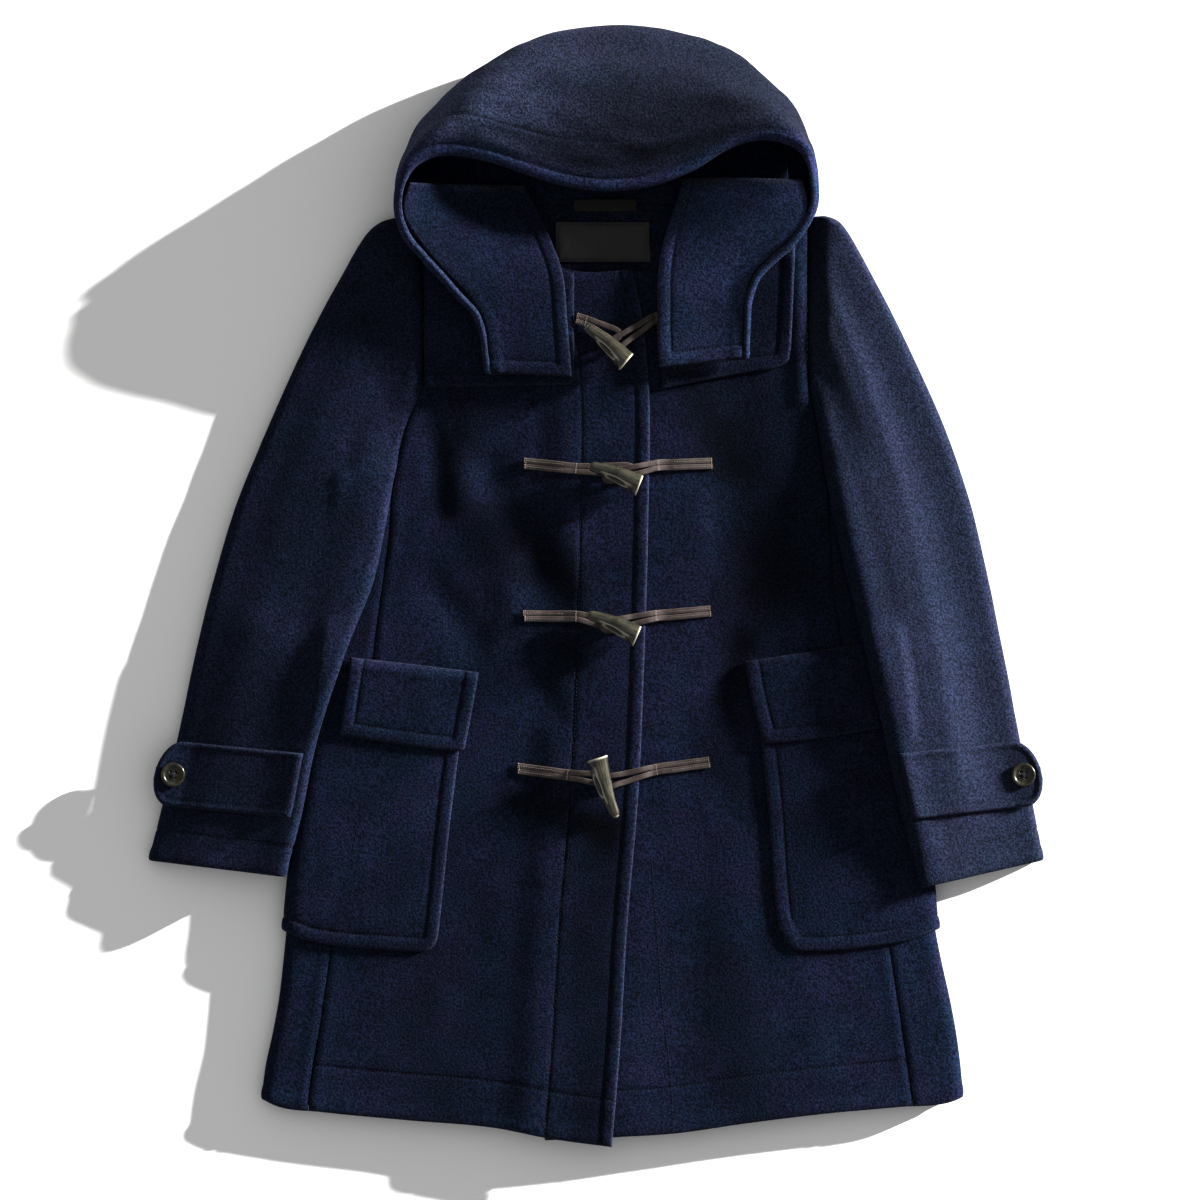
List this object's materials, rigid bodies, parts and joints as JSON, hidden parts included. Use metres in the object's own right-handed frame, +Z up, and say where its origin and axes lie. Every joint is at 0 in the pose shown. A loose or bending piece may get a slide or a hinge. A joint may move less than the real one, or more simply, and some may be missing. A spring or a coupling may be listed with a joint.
{
  "type": "duffle coat",
  "caption": "Hooded wool duffle coat laid flat on a surface, front up, with toggles on leather loops, flapped patch pockets, shoulder yokes and buttoned cuff straps.",
  "frame": {"origin": "on the surface that the coat lies on, under the middle of its outline", "axes": "+X towards the wearer's left side, +Y from the hem to the hood, +Z up out of the surface, towards the coat's front"},
  "size_m": [0.8222, 1.0295, 0.0661],
  "materials": {
    "wool": "felted navy wool with a short nap, matt",
    "leather": "dark brown, with paler cut edges",
    "horn": "dark olive horn, polished, with pale streaks",
    "button": "dark horn, satin",
    "label": "black woven satin, blank",
    "tape": "dark woven tape"
  },
  "bodies": {
    "root": {"back": "wool", "front_left": "wool", "front_right": "wool", "front_right_shoulder": "wool", "yoke_left": "wool", "yoke_right": "wool", "pocket_left": "wool", "pocket_right": "wool", "pocket_flap_left": "wool", "pocket_flap_right": "wool", "sleeve_left_upper": "wool", "sleeve_left_under": "wool", "sleeve_right_upper": "wool", "sleeve_right_under": "wool", "cuff_strap_left": "wool", "cuff_strap_right": "wool", "cuff_button_left": "button", "cuff_button_right": "button", "hood_crown": "wool", "hood_back": "wool", "hood_lapel_left": "wool", "hood_lapel_right": "wool", "toggle_1": "horn", "toggle_2": "horn", "toggle_3": "horn", "toggle_4": "horn", "strap_left_1": "leather", "strap_left_2": "leather", "strap_left_3": "leather", "strap_left_4": "leather", "strap_right_1": "leather", "strap_right_2": "leather", "strap_right_3": "leather", "strap_right_4": "leather", "neck_label": "label", "hanger_loop": "tape"}
  },
  "joints": []
}
